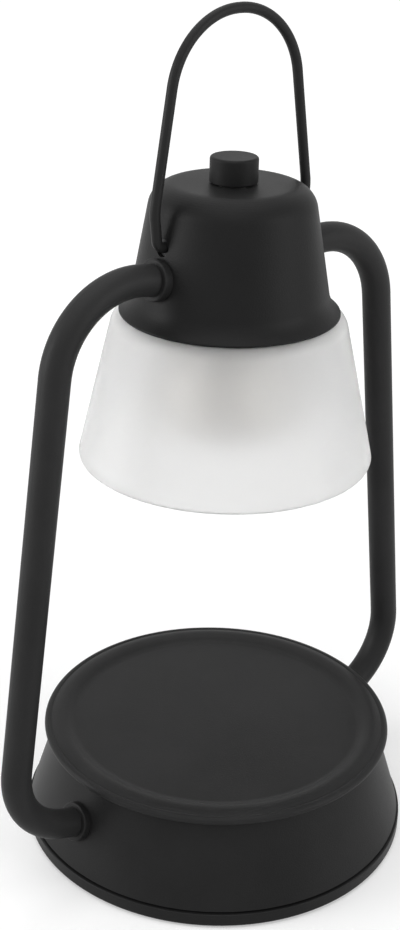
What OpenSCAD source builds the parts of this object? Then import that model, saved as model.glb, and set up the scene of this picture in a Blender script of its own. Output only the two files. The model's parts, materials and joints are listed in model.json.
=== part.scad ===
// Candle warmer lamp: a round weighted base with a candle plate, two bent side tubes that
// carry a hood with a frosted glass shade and a reflector bulb, a rotary dimmer on top and
// a wire carrying bail. Up is +Z, the tubes stand on the X axis, the cord leaves at +Y.
// All sizes are in millimetres. The origin is the centre of the base, on the table.

/* [Base] */
// Radius of the bottom tray, the widest part of the base
tray_r = 75; // [70:0.5:84]
// Height of the tray's rim above the table
tray_h = 6; // [5.5:0.1:7.5]
// Dark joint between the tray's rim and the cone
shadow_gap = 0.9; // [0.5:0.1:1.4]
// How far the cone's foot stands in from the tray's rim
cone_inset = 0.9; // [0.5:0.1:2]
// Height of the deck that the candle plate lies on
deck_z = 40.4; // [37:0.2:46]
// Radius of the cone at deck height, before its shoulder is rounded
cone_top_r = 63.6; // [60:0.2:66]
// Rounding of the cone's shoulder
cone_shoulder = 3; // [2:0.5:5]
// Sheet thickness of the cone
cone_wall = 1.5; // [1.2:0.1:2]
// Sheet thickness of the tray
tray_wall = 1.5; // [1.2:0.1:2]
// Thickness of the steel ballast disc
ballast_t = 6; // [4:0.5:8]
// Height of the rubber feet below the tray
foot_drop = 0.8; // [0.5:0.1:1.5]
// Radius of a rubber foot
foot_r = 6; // [4:0.5:8]

/* [Candle plate] */
// Radius of the candle plate at its lip
plate_r = 68; // [66:0.5:72]
// Thickness of the plate's floor
plate_t = 1.8; // [1.4:0.1:2.6]
// Rounding of the lip
lip_r = 1.6; // [1.2:0.1:2]
// Radius of the rim's crest, seen from above
crest_at = 62; // [60:0.5:64]
// Height of the crest above the plate's floor
crest_h = 2; // [1.4:0.1:2.6]
// Curve radius of the crest
crest_r = 7.25; // [6.5:0.25:8.5]
// Curve radius of the hollow inside the crest
hollow_r = 6; // [4:0.5:8]

/* [Shade and hood] */
// Clear height from the candle plate's floor to the shade's mouth
bay_h = 115.6; // [100:1:140]
// Outer radius of the glass shade at its mouth
shade_r = 53.8; // [50:0.5:57]
// Outer radius of the shade at its top, before its shoulder is rounded
shade_top_r = 41.1; // [40:0.5:44]
// Height of the shade
shade_h = 54.8; // [50:0.5:62]
// Thickness of the glass
glass_t = 2.8; // [2.2:0.1:3.4]
// Rounding of the glass shoulder
glass_shoulder = 6; // [5:0.5:9]
// Gap between the glass top and the hood's rim
rim_gap = 0.8; // [0.5:0.1:1.4]
// Height of the hood, rim to top
hood_h = 44.6; // [42:0.2:52]
// Outer radius of the hood's cone at rim height
hood_low_r = 36; // [35:0.2:38]
// Outer radius of the hood's cone at its top, before its shoulder is rounded
hood_top_r = 27.9; // [26:0.2:30]
// Rounding of the hood's shoulder
hood_shoulder = 9; // [6:0.5:11]
// Curve radius of the hood's flared rim
flare_r = 10; // [8:0.5:12]
// How far the flare turns out below level
flare_turn = 55; // [48:1:60]
// Sheet thickness of the hood
hood_wall = 1.2; // [1:0.1:1.5]

/* [Side tubes] */
// Outer radius of a side tube
tube_r = 5.5; // [5:0.1:6]
// Wall of a side tube
tube_wall = 1.4; // [1.1:0.1:1.6]
// Height at which a tube enters the base cone
tube_low_z = 24; // [22:0.5:26]
// Height above the hood's rim at which a tube enters the hood
tube_high_z = 16.2; // [15:0.2:17]
// Reach of a tube's lower corner out from the base cone
bow_low = 29.75; // [28:0.25:36]
// Reach of a tube's upper corner out from the hood
bow_high = 38.4; // [37:0.2:46]
// Bend radius of the lower corner
bend_low = 29; // [24:1:32]
// Bend radius of the upper corner
bend_high = 31.5; // [24:0.5:34]
// Radius of the collar at each tube end
collar_r = 7.3; // [6.9:0.1:7.5]
// Thickness of a collar
collar_t = 2.6; // [2.2:0.1:3.2]
// Radius of the threaded nipple in each tube end
nipple_r = 4; // [3.4:0.1:4]
// Radius of the feed cable in the left tube
cable_r = 2.3; // [1.8:0.1:2.5]

/* [Bail] */
// Radius of the bail's wire
wire_r = 1.8; // [1.5:0.1:2]
// Height of the bail's pivots above the hood's rim
pivot_h = 27.1; // [26.6:0.1:28]
// Height of the bail above its pivots, to the wire's centre
bail_h = 75.3; // [65:0.5:90]
// Distance of the bail's leg from the middle at its widest
bail_half = 34.6; // [34:0.1:37]
// Height of that widest place above the pivots
knee_h = 12.5; // [11:0.5:16]
// Lean of a bail leg above the knee
leg_lean = 9.6; // [7:0.2:11]
// Bend radius of the knee
knee_bend = 18; // [12:1:24]
// Bend radius of the wire's turn into the pivot
pivot_bend = 3.2; // [2.6:0.1:3.6]
// Radius of the bail bush in the hood's wall
bush_r = 3; // [2.6:0.1:3.3]

/* [Dimmer] */
// Radius of the dimmer knob
knob_r = 8.4; // [8:0.1:11]
// Height of the knob
knob_h = 8.9; // [8:0.1:12]
// Gap under the knob
knob_gap = 0.4; // [0.3:0.1:0.8]
// Rounding of the knob's top edge
knob_round = 1; // [0.5:0.1:1.5]
// Radius of the dimmer's body
dimmer_r = 8.5; // [7:0.1:9]
// Height of the dimmer's body
dimmer_h = 9; // [7:0.1:10]
// Radius of the dimmer's threaded bush
dimmer_bush_r = 3.8; // [3.6:0.1:4]
// Radius of the dimmer's shaft
shaft_r = 3; // [2.5:0.1:3.1]

/* [Lamp] */
// Radius of the reflector bulb's face
bulb_r = 25; // [23:0.5:26]
// Length of the bulb, face to base
bulb_l = 50; // [46:0.5:52]
// Radius of the bulb's base
bulb_base_r = 8.5; // [7.5:0.5:9.5]
// Height of the bulb's base
bulb_base_h = 12; // [10:0.5:14]
// Radius of the lampholder
holder_r = 13; // [12:0.5:14]
// Height of the lampholder
holder_h = 14; // [12:0.5:15]
// Distance of each bulb pin from the middle
pin_at = 5; // [4.5:0.1:5.5]
// Height of the carrier plate above the hood's rim
carrier_h = 8; // [7.6:0.1:8.4]
// Outer radius of the gallery that holds the shade
gallery_r = 21; // [20:0.5:23]
// Width of the shade ring that screws onto the gallery
ring_w = 6; // [4:0.5:8]

/* [Cord inlet] */
// Radius of the hole for the mains cord
cord_r = 3.3; // [2.8:0.1:3.8]
// Height of the inlet in the cone
inlet_z = 16.5; // [15:0.5:18]

/* [Hidden] */

// Clearances: running fits, slip fits, faces that nearly touch, and pieces that lie close
run = 0.06;
slip = 0.1;
seat = 0.05;
near = 0.3;
// How far a cutting solid passes the face it cuts
cut = 1;
// A bent rod's bends swell by this much and take in this length of the straight runs
swell = 0.02;
lap = 0.15;
// Smoothness of round bodies, and the steps of a profile's arc
$fn = 96;
arc_steps = 12;

// Screws and nuts
m3_r = 1.5;
m4_r = 2;
m4_head_r = 3.4;
m4_nut_r = 4;
m4_nut_h = 2.6;
tube_nut_r = 6.35;
tube_nut_h = 4;
dimmer_nut_r = 5.8;
dimmer_nut_h = 2;
washer_t = 0.4;
tray_screw_l = 10.3;
standoff_screw_l = 8;
pilot_l = 12;
screw_head_h = 1.6;
screw_head_r = 2.8;
pilot = 0.05;

// Base, worked out
floor_z = foot_drop + tray_wall;
cone_z = tray_h + shadow_gap;
cone_low_r = tray_r - cone_inset;
cone_lean = atan((cone_low_r - cone_top_r) / (deck_z - cone_z));
tray_round = 1;
rim_round = 0.5;
rim_w = 3.4;
spigot_h = 2.4;
ballast_r = tray_r - 9;
pillar_n = 3;
pillar_turn = 30;
pillar_at = 52;
pillar_r = 4;
stud_n = 3;
stud_turn = 90;
stud_at = 40;
stud_l = 6.5;
foot_n = 4;
foot_turn = 45;
foot_at = 64;
foot_sink = 0.5;

// Plate, worked out
plate_top = deck_z + plate_t;
crest_z = plate_top + crest_h - crest_r;
hollow_x = crest_at - sqrt(pow(crest_r + hollow_r, 2) - pow(plate_top + hollow_r - crest_z, 2));

// Shade and hood, worked out
shade_z = plate_top + bay_h;
shade_top = shade_z + shade_h;
hood_z = shade_top + rim_gap;
hood_top = hood_z + hood_h;
hood_under = hood_top - hood_wall;
hood_lean = atan((hood_low_r - hood_top_r) / hood_h);
glass_lean = atan((shade_r - shade_top_r) / shade_h);
gasket_t = 0.5;
glass_hole_r = gallery_r + 0.6;

// Tubes, worked out
tube_z = hood_z + tube_high_z;
low_wall = [cone_radius(tube_low_z), tube_low_z];
high_wall = [hood_radius(tube_z), tube_z];
low_dir = [cos(cone_lean), sin(cone_lean)];
high_dir = [cos(hood_lean), sin(hood_lean)];
collar_cup = 1.2;
tube_seat = collar_t - collar_cup;
low_corner = low_wall + low_dir * bow_low / low_dir[0];
high_corner = high_wall + high_dir * bow_high / high_dir[0];
tube_path = [low_wall + low_dir * tube_seat, low_corner, high_corner, high_wall + high_dir * tube_seat];
nipple_bore = cable_r + 0.4;
nipple_in = 4.2;
low_bend = roomy(bend_low, tube_path[0], low_corner, high_corner, nipple_in + near);
high_bend = roomy(bend_high, tube_path[3], high_corner, low_corner, nipple_in + near);
tube_bends = [0, low_bend, high_bend, 0];
nipple_back = tube_nut_h + 1.6;

// Bail, worked out
pivot_z = hood_z + pivot_h;
bail_top = pivot_z + bail_h;
knee = [bail_half, pivot_z + knee_h];
pivot_turn = [bail_half - 1.4, pivot_z];
pivot_wall = hood_radius(pivot_z);
bail_side = knee[0] - (bail_top - knee[1]) * tan(leg_lean);
arch_flat = 0.5;
arch_bend = (bail_side - arch_flat) / tan((90 - leg_lean) / 2);
bush_face = pivot_wall - 0.9;
bush_flange_r = 4.2;
bush_flange_t = 1.4;
bush_back = bush_face - 3.1;
clip_t = 0.8;
clip_r = 4;
clip_face = bush_back - 0.2;
wire_end = clip_face - clip_t - 1.7;
bail_path = [[-wire_end, pivot_z], [-pivot_turn[0], pivot_z], [-knee[0], knee[1]],
    [-bail_side, bail_top], [bail_side, bail_top], knee, pivot_turn, [wire_end, pivot_z]];
bail_bends = [0, pivot_bend, knee_bend, arch_bend, arch_bend, knee_bend, pivot_bend, 0];

// Dimmer, worked out
knob_z = hood_top + knob_gap;
knob_top = knob_z + knob_h;
dimmer_bush_top = hood_top + dimmer_nut_h + washer_t + 0.6;
knob_recess = dimmer_bush_top + 0.5;
knob_recess_r = dimmer_nut_r + 0.8;
shaft_top = knob_top - 2;
shaft_flat = shaft_r * 0.55;
shaft_foot = hood_under - dimmer_h * 0.6;
knob_screw_z = (knob_recess + shaft_top) / 2;

// Lamp, worked out
carrier_z = hood_z + carrier_h;
carrier_t = 1.2;
carrier_top = carrier_z + carrier_t;
carrier_r = hood_radius(carrier_top) - hood_wall / cos(hood_lean) - 0.3;
carrier_hole = bulb_base_r + 1;
standoff_r = 2.6;
bulb_foot = carrier_top - 0.2;
bulb_face = bulb_foot - bulb_l;
lens_t = 2;
standoff_at = holder_r + standoff_r + 0.8;
gallery_wall = 1.5;
gallery_flange_r = 26;
gallery_flange_t = 1.2;
seat_r = 31;
seat_t = 1.2;
glass_seat = shade_top + gasket_t;
ring_h = 4.2;
ring_top = shade_top - glass_t - 0.1;
ring_notches = 12;
gallery_end = ring_top - ring_h - 0.6;
gallery_screw_at = gallery_flange_r - 2.3;
gallery_screw_n = 4;
gallery_screw_turn = 45;
pin_r = 2.5;
pin_neck_r = 1.5;
pin_l = 7;
holder_screw_at = bulb_base_r + 2.7;
lead_r = 1.1;
lead_at = 5;

// Inlet and wiring, worked out
inlet_wall = [cone_radius(inlet_z), inlet_z];
gland_r = cord_r + 1.9;
gland_flange_r = cord_r + 4;
gland_flange_t = 1.6;
gland_in = 7;
block_l = 24;
block_w = 18;
block_h = 14;
block_x = -30;
block_bore_r = 1.8;
block_screw_r = 1.4;
block_z = floor_z + ballast_t + 0.1;
cable_exit = low_wall - low_dir * (cone_wall + nipple_back + 7);
cable_end = [near - block_x, block_z + block_h / 2];
cable_entry = cable_end + [4, 0];
inlet_bend = 10;
cable_bend = 4;
cable_turn = high_wall - high_dir * (hood_wall + nipple_back + cable_bend);
cable_top = [dimmer_r + near, hood_under - dimmer_h / 2];
cable_rise = [cable_top[0] + 8.2, cable_top[1]];

// Radius of the base cone and of the hood's cone at a height
function cone_radius(z) = cone_low_r - (z - cone_z) * tan(cone_lean);
function hood_radius(z) = hood_low_r - (z - hood_z) * tan(hood_lean);

// Points of an arc in a profile, from angle a to angle b
function arc(centre, radius, a, b, steps = arc_steps) =
    [for (i = [0:steps]) centre + radius * [cos(a + (b - a) * i / steps), sin(a + (b - a) * i / steps)]];

// Centre of a rounding of radius rho between a leaning wall and a level top
function rounding(wall_r, top, lean, rho) = [wall_r + rho * tan(lean) - rho / cos(lean), top - rho];

// Direction from one profile point to another
function bearing(from, to) = atan2(to[1] - from[1], to[0] - from[0]);

// Reversed list
function back(points) = [for (i = [len(points) - 1:-1:0]) points[i]];

// Geometry of a rod's bend, in the X-Z plane
function unit2(v) = v / norm(v);
function turn(a, b, c) = let (u = b - a, w = c - b) atan2(u[0] * w[1] - u[1] * w[0], u * w);
function setback(a, b, c, bend) = bend * tan(abs(turn(a, b, c)) / 2);

// A bend as wished, or the one that leaves the straight run from a to b its length
function roomy(wish, a, b, c, straight) = min(wish, (norm(b - a) - straight) / tan(abs(turn(a, b, c)) / 2));
function ahead(p, q, d) = p + d * unit2(p - q);

// Straight rod from p to q in the X-Z plane
module rod(p, q, r) {
    translate([p[0], 0, p[1]]) rotate([0, 90 - atan2(q[1] - p[1], q[0] - p[0]), 0])
        cylinder(h = norm(q - p), r = r, $fn = 48);
}

// Bend at b on the way from a to c
module elbow(a, b, c, bend, r) {
    sweep = turn(a, b, c);
    u = unit2(b - a);
    from = b - u * setback(a, b, c, bend);
    centre = from + sign(sweep) * bend * [-u[1], u[0]];
    start = atan2(from[1] - centre[1], from[0] - centre[0]);
    translate([centre[0], 0, centre[1]]) rotate([90, 0, 0]) rotate([0, 0, min(start, start + sweep)])
        rotate_extrude(angle = abs(sweep)) translate([bend, 0]) circle(r = r + swell, $fn = 48);
}

// Round rod along corner points, with a bend radius at each inner corner
module bent_rod(points, bends, r) {
    last = len(points) - 1;
    for (i = [0:last - 1]) {
        u = unit2(points[i + 1] - points[i]);
        from = i == 0 ? 0 : setback(points[i - 1], points[i], points[i + 1], bends[i]) - lap;
        to = i == last - 1 ? 0 : setback(points[i], points[i + 1], points[i + 2], bends[i + 1]) - lap;
        rod(points[i] + u * from, points[i + 1] - u * to, r);
    }
    for (i = [1:last - 1]) elbow(points[i - 1], points[i], points[i + 1], bends[i], r);
}

// Puts a piece on a wall point, its +Z along the wall's outward normal
module on_wall(point, lean) {
    translate([point[0], 0, point[1]]) rotate([0, 90 - lean, 0]) children();
}

// The same piece on both sides
module both_sides() {
    children();
    rotate([0, 0, 180]) children();
}

// Copies around the middle
module around(count, radius, start = 0) {
    for (i = [0:count - 1]) rotate([0, 0, start + i * 360 / count]) translate([radius, 0, 0]) children();
}

// Hexagon nut with a bore
module nut(r, h, bore) {
    difference() {
        cylinder(h = h, r = r, $fn = 6);
        translate([0, 0, -cut]) cylinder(h = h + 2 * cut, r = bore, $fn = 48);
    }
}

// Outline of the base sheet at a depth inside its outer face, open at the foot
function base_line(depth) =
    let (rho = cone_shoulder - depth)
    let (centre = rounding(cone_top_r, deck_z, cone_lean, cone_shoulder))
    concat([[cone_low_r - depth / cos(cone_lean), cone_z]], arc(centre, rho, cone_lean, 90),
        [[0, deck_z - depth]]);

module base_shell() {
    color([0.16, 0.16, 0.16]) difference() {
        union() {
            rotate_extrude() polygon(concat(base_line(0), back(base_line(cone_wall))));
            around(pillar_n, pillar_at, pillar_turn) translate([0, 0, floor_z])
                cylinder(h = deck_z - cone_wall / 2 - floor_z, r = pillar_r, $fn = 48);
        }
        around(pillar_n, pillar_at, pillar_turn) cylinder(h = floor_z + pilot_l, r = m4_r + pilot, $fn = 48);
        around(stud_n, stud_at, stud_turn) translate([0, 0, deck_z - cone_wall - cut])
            cylinder(h = cone_wall + 2 * cut, r = m4_r + slip, $fn = 48);
        both_sides() on_wall(low_wall, cone_lean) translate([0, 0, -cone_wall - cut])
            cylinder(h = cone_wall + 2 * cut, r = nipple_r + slip, $fn = 48);
        rotate([0, 0, 90]) on_wall(inlet_wall, cone_lean) translate([0, 0, -cone_wall - cut])
            cylinder(h = cone_wall + 2 * cut, r = gland_r + seat, $fn = 48);
    }
}

module bottom_tray() {
    spigot_r = cone_radius(tray_h + spigot_h) - cone_wall / cos(cone_lean) - 0.3;
    color([0.15, 0.15, 0.15]) difference() {
        rotate_extrude() polygon(concat(
            [[0, foot_drop]], arc([tray_r - tray_round, foot_drop + tray_round], tray_round, -90, 0),
            arc([tray_r - rim_round, tray_h - rim_round], rim_round, 0, 90),
            [[spigot_r, tray_h], [spigot_r, tray_h + spigot_h],
            [spigot_r - tray_wall, tray_h + spigot_h], [spigot_r - tray_wall, floor_z], [0, floor_z]]));
        around(pillar_n, pillar_at, pillar_turn) translate([0, 0, foot_drop - cut])
            cylinder(h = tray_wall + 2 * cut, r = m4_r + slip, $fn = 48);
        around(pillar_n, pillar_at, pillar_turn) translate([0, 0, foot_drop])
            cylinder(h = m4_head_r - m4_r, r1 = m4_head_r + slip, r2 = m4_r + slip, $fn = 48);
        around(foot_n, foot_at, foot_turn) translate([0, 0, foot_drop - cut])
            cylinder(h = foot_sink + cut, r = foot_r + slip, $fn = 48);
    }
}

module ballast_disc() {
    color([0.45, 0.45, 0.47]) difference() {
        translate([0, 0, floor_z]) cylinder(h = ballast_t, r = ballast_r);
        around(pillar_n, pillar_at, pillar_turn) translate([0, 0, floor_z - cut])
            cylinder(h = ballast_t + 2 * cut, r = pillar_r + 0.4, $fn = 48);
    }
}

module rubber_feet() {
    color([0.08, 0.08, 0.08]) around(foot_n, foot_at, foot_turn) rotate_extrude()
        polygon(concat([[0, 0]], arc([foot_r - 0.4, 0.4], 0.4, -90, 0, 4),
            [[foot_r, foot_drop + foot_sink], [0, foot_drop + foot_sink]]));
}

module tray_screws() {
    color([0.7, 0.7, 0.72]) around(pillar_n, pillar_at, pillar_turn) difference() {
        union() {
            translate([0, 0, foot_drop + seat])
                cylinder(h = m4_head_r - m4_r, r1 = m4_head_r, r2 = m4_r, $fn = 48);
            translate([0, 0, foot_drop + seat]) cylinder(h = tray_screw_l, r = m4_r, $fn = 48);
        }
        cylinder(h = foot_drop + 1, r = 1.3, $fn = 6);
    }
}

module candle_plate() {
    lip = [plate_r - lip_r, deck_z + lip_r];
    foot = [hollow_x, plate_top + hollow_r];
    crest = [crest_at, crest_z];
    join = bearing(crest, foot);
    reach = norm(lip - crest);
    crest_end = bearing(crest, lip)
        + acos((pow(reach, 2) + pow(crest_r, 2) - pow(lip_r, 2)) / (2 * reach * crest_r));
    crease = crest + crest_r * [cos(crest_end), sin(crest_end)];
    color([0.2, 0.2, 0.2]) union() {
        rotate_extrude() polygon(concat([[0, deck_z], [lip[0], deck_z]],
            arc(lip, lip_r, -90, bearing(lip, crease)),
            arc(crest, crest_r, crest_end, join), arc(foot, hollow_r, join - 180, -90),
            [[0, plate_top]]));
        around(stud_n, stud_at, stud_turn) translate([0, 0, deck_z - stud_l])
            cylinder(h = stud_l + plate_t / 2, r = m4_r, $fn = 48);
    }
}

module plate_nuts() {
    color([0.75, 0.75, 0.77]) around(stud_n, stud_at, stud_turn)
        translate([0, 0, deck_z - cone_wall - seat - m4_nut_h]) nut(m4_nut_r, m4_nut_h, m4_r + pilot);
}

module earth_tag() {
    tag_z = deck_z - cone_wall - 2 * seat - m4_nut_h - 0.8;
    color([0.8, 0.7, 0.35]) rotate([0, 0, stud_turn + 120]) translate([stud_at, 0, tag_z]) difference() {
        union() {
            cylinder(h = 0.8, r = 3.6, $fn = 48);
            translate([-13, -1.6, 0]) cube([12, 3.2, 0.8]);
        }
        translate([0, 0, -cut]) cylinder(h = 0.8 + 2 * cut, r = m4_r + pilot, $fn = 48);
    }
}

module cord_gland() {
    color([0.12, 0.12, 0.12]) rotate([0, 0, 90]) difference() {
        on_wall(inlet_wall, cone_lean) rotate_extrude() polygon(concat([[cord_r, -gland_in],
            [gland_r, -gland_in], [gland_r, -cut], [gland_flange_r, -cut]],
            arc([gland_flange_r - 0.6, gland_flange_t - 0.6], 0.6, 0, 90, 6), [[cord_r, gland_flange_t]]));
        difference() {
            cylinder(h = 2 * deck_z, r1 = cone_radius(0) + seat, r2 = cone_radius(2 * deck_z) + seat);
            on_wall(inlet_wall, cone_lean) translate([0, 0, -2 * gland_in])
                cylinder(h = 3 * gland_in, r = gland_r, $fn = 48);
        }
    }
}

module terminal_block() {
    color([0.9, 0.9, 0.86]) difference() {
        translate([block_x, -block_w / 2, block_z]) cube([block_l, block_w, block_h]);
        for (i = [-1:1]) {
            translate([block_x - cut, i * block_w / 3, block_z + block_h / 2]) rotate([0, 90, 0])
                cylinder(h = block_l + 2 * cut, r = block_bore_r, $fn = 48);
            for (x = [block_l / 4, block_l * 3 / 4])
                translate([block_x + x, i * block_w / 3, block_z + block_h / 2])
                    cylinder(h = block_h, r = block_screw_r + seat, $fn = 48);
        }
    }
}

module terminal_screws() {
    color([0.8, 0.7, 0.35]) for (i = [-1:1]) for (x = [block_l / 4, block_l * 3 / 4])
        translate([block_x + x, i * block_w / 3, block_z + (block_h - block_bore_r) / 2])
            cylinder(h = block_h / 2, r = block_screw_r, $fn = 48);
}

module side_tube() {
    color([0.15, 0.15, 0.15]) difference() {
        bent_rod(tube_path, tube_bends, tube_r);
        bent_rod([ahead(tube_path[0], low_corner, cut), low_corner, high_corner,
            ahead(tube_path[3], high_corner, cut)], tube_bends, tube_r - tube_wall);
    }
}

module left_tube() {
    rotate([0, 0, 180]) side_tube();
}

module right_tube() {
    side_tube();
}

// A nipple stands in the tube's end, passes the collar and the wall, and takes the nut
module nipple(wall) {
    translate([0, 0, -wall - nipple_back]) difference() {
        cylinder(h = wall + nipple_back + tube_seat + nipple_in, r = nipple_r, $fn = 48);
        translate([0, 0, -cut])
            cylinder(h = wall + nipple_back + tube_seat + nipple_in + 2 * cut, r = nipple_bore, $fn = 48);
    }
}

module tube_nipples() {
    color([0.8, 0.7, 0.35]) both_sides() {
        on_wall(low_wall, cone_lean) nipple(cone_wall);
        on_wall(high_wall, hood_lean) nipple(hood_wall);
    }
}

// Collar before its back is shaped to the wall
module collar_blank() {
    rotate_extrude() polygon(concat([[nipple_r + slip, -cut * 2], [collar_r, -cut * 2]],
        arc([collar_r - 0.6, collar_t - 0.6], 0.6, 0, 90, 6),
        [[tube_r + slip, collar_t], [tube_r + slip, tube_seat], [nipple_r + slip, tube_seat]]));
}

module lower_collars() {
    color([0.15, 0.15, 0.15]) both_sides() difference() {
        on_wall(low_wall, cone_lean) collar_blank();
        cylinder(h = 2 * deck_z, r1 = cone_radius(0) + seat, r2 = cone_radius(2 * deck_z) + seat);
    }
}

module upper_collars() {
    color([0.15, 0.15, 0.15]) both_sides() difference() {
        on_wall(high_wall, hood_lean) collar_blank();
        translate([0, 0, hood_z]) cylinder(h = hood_h, r1 = hood_low_r + seat, r2 = hood_top_r + seat);
    }
}

// A nut inside a round wall bears on two of its corners
module tube_nuts() {
    low_sag = pow(tube_nut_r, 2) / (2 * (low_wall[0] - cone_wall));
    high_sag = pow(tube_nut_r, 2) / (2 * (high_wall[0] - hood_wall));
    color([0.75, 0.75, 0.77]) both_sides() {
        on_wall(low_wall, cone_lean) translate([0, 0, -cone_wall - low_sag - slip - tube_nut_h])
            rotate([0, 0, 30]) nut(tube_nut_r, tube_nut_h, nipple_r + pilot);
        on_wall(high_wall, hood_lean) translate([0, 0, -hood_wall - high_sag - slip - tube_nut_h])
            rotate([0, 0, 90]) nut(tube_nut_r, tube_nut_h, nipple_r + pilot);
    }
}

module feed_cable() {
    color([0.85, 0.85, 0.83]) rotate([0, 0, 180])
        bent_rod([cable_end, cable_entry, cable_exit, low_corner, high_corner,
            cable_turn, cable_rise, cable_top],
            [0, inlet_bend, inlet_bend, low_bend, high_bend, cable_bend, cable_bend, 0], cable_r);
}

// Outline of the hood sheet at a depth inside its outer face
function hood_line(depth) =
    let (top_centre = rounding(hood_top_r, hood_top, hood_lean, hood_shoulder))
    let (flare_z = hood_z + flare_r * sin(flare_turn))
    let (flare_centre = [hood_radius(flare_z) + flare_r / cos(hood_lean), flare_z])
    concat(arc(flare_centre, flare_r + depth, 180 + flare_turn, 180 + hood_lean),
        arc(top_centre, hood_shoulder - depth, hood_lean, 90), [[0, hood_top - depth]]);

module hood_shell() {
    rim = (hood_line(0)[0] + hood_line(hood_wall)[0]) / 2;
    color([0.15, 0.15, 0.15]) difference() {
        rotate_extrude() polygon(concat(arc(rim, hood_wall / 2, flare_turn - 180, flare_turn, 8),
            hood_line(0), back(hood_line(hood_wall))));
        translate([0, 0, hood_under - cut])
            cylinder(h = hood_wall + 2 * cut, r = dimmer_bush_r + slip, $fn = 48);
        both_sides() on_wall(high_wall, hood_lean) translate([0, 0, -hood_wall - cut])
            cylinder(h = hood_wall + 2 * cut, r = nipple_r + slip, $fn = 48);
        translate([-pivot_wall - cut, 0, pivot_z]) rotate([0, 90, 0])
            cylinder(h = 2 * (pivot_wall + cut), r = bush_r + seat, $fn = 48);
    }
}

module standoffs() {
    color([0.75, 0.75, 0.77]) rotate([0, 0, 90]) both_sides() translate([standoff_at, 0, 0]) difference() {
        translate([0, 0, carrier_top]) cylinder(h = hood_under - carrier_top, r = standoff_r, $fn = 6);
        translate([0, 0, carrier_top - cut])
            cylinder(h = standoff_screw_l + cut, r = m3_r + pilot, $fn = 48);
    }
}

// Pan-head screw, its head below z = 0
module pan_screw(r, l) {
    cylinder(h = l, r = r, $fn = 48);
    rotate_extrude() polygon(concat([[0, -screw_head_h]],
        arc([screw_head_r - 0.7, 0.7 - screw_head_h], 0.7, -90, 0, 4), [[screw_head_r, 0], [0, 0]]));
}

module standoff_screws() {
    color([0.7, 0.7, 0.72]) rotate([0, 0, 90]) both_sides()
        translate([standoff_at, 0, carrier_z - seat]) pan_screw(m3_r, standoff_screw_l);
}

module carrier_plate() {
    color([0.7, 0.7, 0.72]) difference() {
        translate([0, 0, carrier_z]) cylinder(h = carrier_t, r = carrier_r);
        translate([0, 0, carrier_z - cut]) cylinder(h = carrier_t + 2 * cut, r = carrier_hole);
        rotate([0, 0, 90]) both_sides() translate([standoff_at, 0, carrier_z - cut])
            cylinder(h = carrier_t + 2 * cut, r = m3_r + slip, $fn = 48);
        around(gallery_screw_n, gallery_screw_at, gallery_screw_turn) translate([0, 0, carrier_z - cut])
            cylinder(h = carrier_t + 2 * cut, r = m3_r + slip, $fn = 48);
        both_sides() translate([holder_screw_at, 0, carrier_z - cut])
            cylinder(h = carrier_t + 2 * cut, r = 1.1, $fn = 48);
    }
}

// The gallery hangs under the carrier plate, and the glass is held against its wide seat
module shade_gallery() {
    gallery_bore = gallery_r - gallery_wall;
    color([0.7, 0.7, 0.72]) difference() {
        rotate_extrude() polygon([[gallery_bore, gallery_end], [gallery_r, gallery_end],
            [gallery_r, glass_seat], [seat_r, glass_seat], [seat_r, glass_seat + seat_t],
            [gallery_r, glass_seat + seat_t], [gallery_r, carrier_z - seat - gallery_flange_t],
            [gallery_flange_r, carrier_z - seat - gallery_flange_t], [gallery_flange_r, carrier_z - seat],
            [gallery_bore, carrier_z - seat]]);
        around(gallery_screw_n, gallery_screw_at, gallery_screw_turn)
            translate([0, 0, carrier_z - gallery_flange_t - cut])
            cylinder(h = gallery_flange_t + 2 * cut, r = m3_r + slip, $fn = 48);
    }
}

module gallery_screws() {
    color([0.7, 0.7, 0.72]) around(gallery_screw_n, gallery_screw_at, gallery_screw_turn)
        translate([0, 0, carrier_top + seat]) rotate([180, 0, 0])
            pan_screw(m3_r, carrier_t + gallery_flange_t + 0.4);
}

module shade_gasket() {
    color([0.85, 0.83, 0.8]) translate([0, 0, shade_top]) difference() {
        cylinder(h = gasket_t, r = seat_r - 0.5);
        translate([0, 0, -cut]) cylinder(h = gasket_t + 2 * cut, r = gallery_r + 0.3);
    }
}

// Outline of the glass at a depth inside its outer face
function glass_line(depth) =
    let (centre = rounding(shade_top_r, shade_top, glass_lean, glass_shoulder))
    concat([[shade_r - depth / cos(glass_lean) - glass_t / 2 * tan(glass_lean), shade_z + glass_t / 2]],
        arc(centre, glass_shoulder - depth, glass_lean, 90));

module glass_shade() {
    mouth = [(glass_line(0)[0][0] + glass_line(glass_t)[0][0]) / 2, shade_z + glass_t / 2];
    neck = [glass_hole_r + glass_t / 2, shade_top - glass_t / 2];
    color([0.93, 0.93, 0.92, 0.9]) rotate_extrude() polygon(concat(
        arc(mouth, glass_t / 2, -170, -10), glass_line(0),
        arc(neck, glass_t / 2, 90, 270, 8), back(glass_line(glass_t))));
}

module shade_ring() {
    color([0.15, 0.15, 0.15]) difference() {
        translate([0, 0, ring_top - ring_h]) cylinder(h = ring_h, r = gallery_r + ring_w);
        translate([0, 0, ring_top - ring_h - cut]) cylinder(h = ring_h + 2 * cut, r = gallery_r + run);
        around(ring_notches, gallery_r + ring_w) translate([0, 0, ring_top - ring_h - cut])
            cylinder(h = ring_h + 2 * cut, r = 1.2, $fn = 32);
    }
}

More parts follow.
